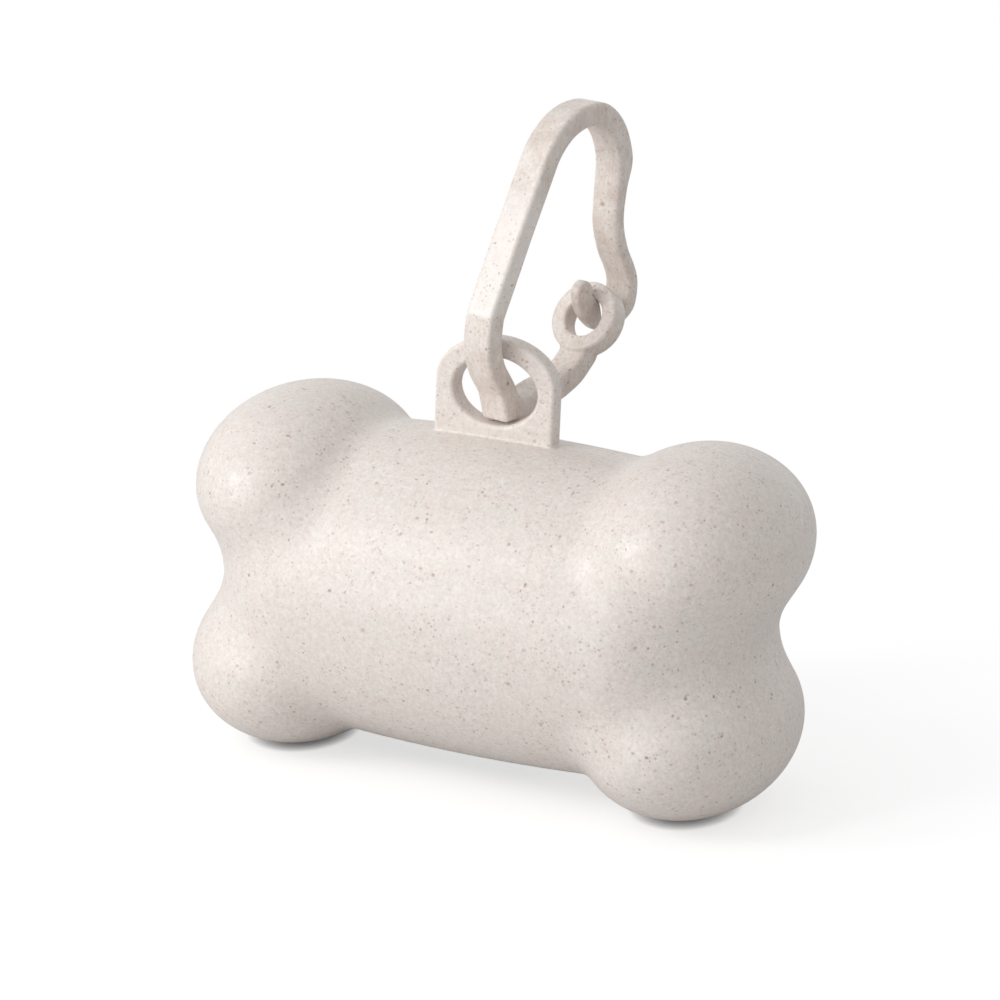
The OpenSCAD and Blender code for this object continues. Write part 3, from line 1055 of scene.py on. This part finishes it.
def filmMaterial():
    g = newMaterial("greenFilm")
    place = g.place()
    x, y, z = g.parts(place)
    high = z - (roll["axisHeight"] + partShift[2])
    around = (y * y + high * high) ** 0.5
    # Wound layers show as fine rings on the ends
    endFace = abs(x - partShift[0]).ramped(roll["halfLength"] - film["endDepth"], 8.0)
    wound = (around * film["ringRate"] + g.noise(place, film["wanderSize"]) * film["ringWander"]).sine()
    layers = (wound * 0.5 + 0.5) * endFace
    ripple = g.noise(g.stretched(place, film["creases"]), film["creaseSize"], 3.0, 0.55)
    colour = g.mixColours(ripple.ramped(0.35, 2.0), film["dark"], film["light"])
    colour = g.mixColours(layers * film["ringShare"], colour, film["ring"])
    rough = film["roughness"] + ripple * film["roughRipple"] + endFace * film["roughEnd"]
    return g.finish({"Base Color": colour, "Roughness": rough,
                     "Normal": g.bump(ripple + layers, film["grainDepth"]), "Specular IOR Level": 0.5})


# The clip's material carries stains and a painted highlight on its straight run
streakedWithPaintedHighlight = strawPlastic("strawPlasticStreakedPaintedHighlight", stains=0.8)
for piece, material in (
        (bodyShell, strawPlastic("strawPlasticLined", partingLine=True)),
        (endCap, strawPlastic("strawPlastic")),
        (clipLoop, streakedWithPaintedHighlight), (clipGate, streakedWithPaintedHighlight),
        (bagRoll, filmMaterial()), (rollCore, cardMaterial())):
    piece.data.materials.clear()
    piece.data.materials.append(material)
print("materials made")


# Distances here are in metres
studio = {
    "floorSize": 3.0,
    "floorColour": opaque(0.8, 0.8, 0.8),
    "seenColour": opaque(0.5, 0.5, 0.5),
    "glow": 0.64,
    "contactShadowReach": 0.0013,  # how far the painted contact shadow, a dark line under the lobes, reaches
    "contactShadowSamples": 12,
    "fadeFrom": 0.07,        # the floor fades to plain white between these distances
    "fadeTo": 0.14,
    "worldStrength": 0.575,
    "middle": (0.0013, 0, -0.02),
    "lampDistance": 0.8,
    "lights": [
        # name, turn from the camera and height above the horizon in degrees, size, watts
        ("key", -55, 3, 0.4, 1.15),
        ("fill", -35, 3, 0.4, 0.65),
        ("lamp", -71, 21, 0.15, 0.9),
        ("strap", -79, 28, 0.12, 0.5),
        ("upper", -55, 34, 0.15, 0.7),
        ("high", -55, 48, 0.15, 0.36),
        ("back", -120, 52, 0.4, 0.35),
    ],
}


def buildStudio():
    low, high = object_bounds()
    side = studio["floorSize"]
    mesh = bpy.data.meshes.new("floor")
    corners = ((-side, -side), (side, -side), (side, side), (-side, side))
    mesh.from_pydata([(x, y, low.z) for x, y in corners], [], [(0, 1, 2, 3)])
    floor = newObject("floor", mesh)
    g = newMaterial("floorPaper")
    # The camera sees the paper near white, with the shadow kept and a painted contact shadow darkening its
    # glow under the lobes, and plain white further out
    paper = g.node("ShaderNodeBsdfDiffuse", {}, {"Color": studio["floorColour"]})
    dimmed = g.node("ShaderNodeBsdfDiffuse", {}, {"Color": studio["seenColour"]})
    # Painted contact shadow: an occlusion node darkens the glow where the bone stands close above the floor
    paintedContactShadow = g.node("ShaderNodeAmbientOcclusion", {"samples": studio["contactShadowSamples"]},
                     {"Distance": studio["contactShadowReach"]}, "Color")
    glow = g.node("ShaderNodeEmission", {}, {"Color": paintedContactShadow, "Strength": studio["glow"]})
    white = g.node("ShaderNodeEmission", {}, {"Color": opaque(1, 1, 1), "Strength": 1.0})
    near = g.node("ShaderNodeAddShader", {}, {0: dimmed, 1: glow})
    spot = g.node("ShaderNodeNewGeometry", {}, {}, "Position")
    away = g.node("ShaderNodeVectorMath", {"operation": "LENGTH"}, {0: spot}, "Value")
    fade = ((away - studio["fadeFrom"]) / (studio["fadeTo"] - studio["fadeFrom"])).clipped()
    seen = g.node("ShaderNodeMixShader", {}, {0: fade, 1: near, 2: white})
    ray = g.node("ShaderNodeLightPath", {}, {}, "Is Camera Ray")
    whole = g.node("ShaderNodeMixShader", {}, {0: ray, 1: paper, 2: seen})
    g.node("ShaderNodeOutputMaterial", {}, {"Surface": whole})
    mesh.materials.append(g.owner)

    scene = bpy.context.scene
    scene.world = bpy.data.worlds.new("studio")
    g = Graph(scene.world)
    # The camera and shiny surfaces see plain white, and everything else is lit by a dimmer one
    path = g.node("ShaderNodeLightPath", output="Is Camera Ray")
    seesWhite = path.most(path.other("Is Glossy Ray")).most(path.other("Is Transmission Ray"))
    lighting, white = (
        g.node("ShaderNodeBackground", {}, {"Color": opaque(1, 1, 1), "Strength": strength})
        for strength in (studio["worldStrength"], 1.0))
    seen = g.node("ShaderNodeMixShader", {}, {0: seesWhite, 1: lighting, 2: white})
    g.node("ShaderNodeOutputWorld", {}, {"Surface": seen})

    for name, turn, height, size, watts in studio["lights"]:
        data = bpy.data.lights.new(name, "AREA")
        data.shape, data.size, data.energy = "SQUARE", size, watts
        lamp = bpy.data.objects.new(name, data)
        scene.collection.objects.link(lamp)
        turned, raised = math.radians(cameraSetup["azimuth"] + turn), math.radians(height)
        away = Vector((math.sin(turned) * math.cos(raised),
                       -math.cos(turned) * math.cos(raised), math.sin(raised)))
        lamp.location = Vector(studio["middle"]) + away * studio["lampDistance"]
        lamp.rotation_mode = "QUATERNION"
        lamp.rotation_quaternion = away.to_track_quat("Z", "Y")
    scene.view_settings.view_transform = "Standard"


buildStudio()
print("studio lit")
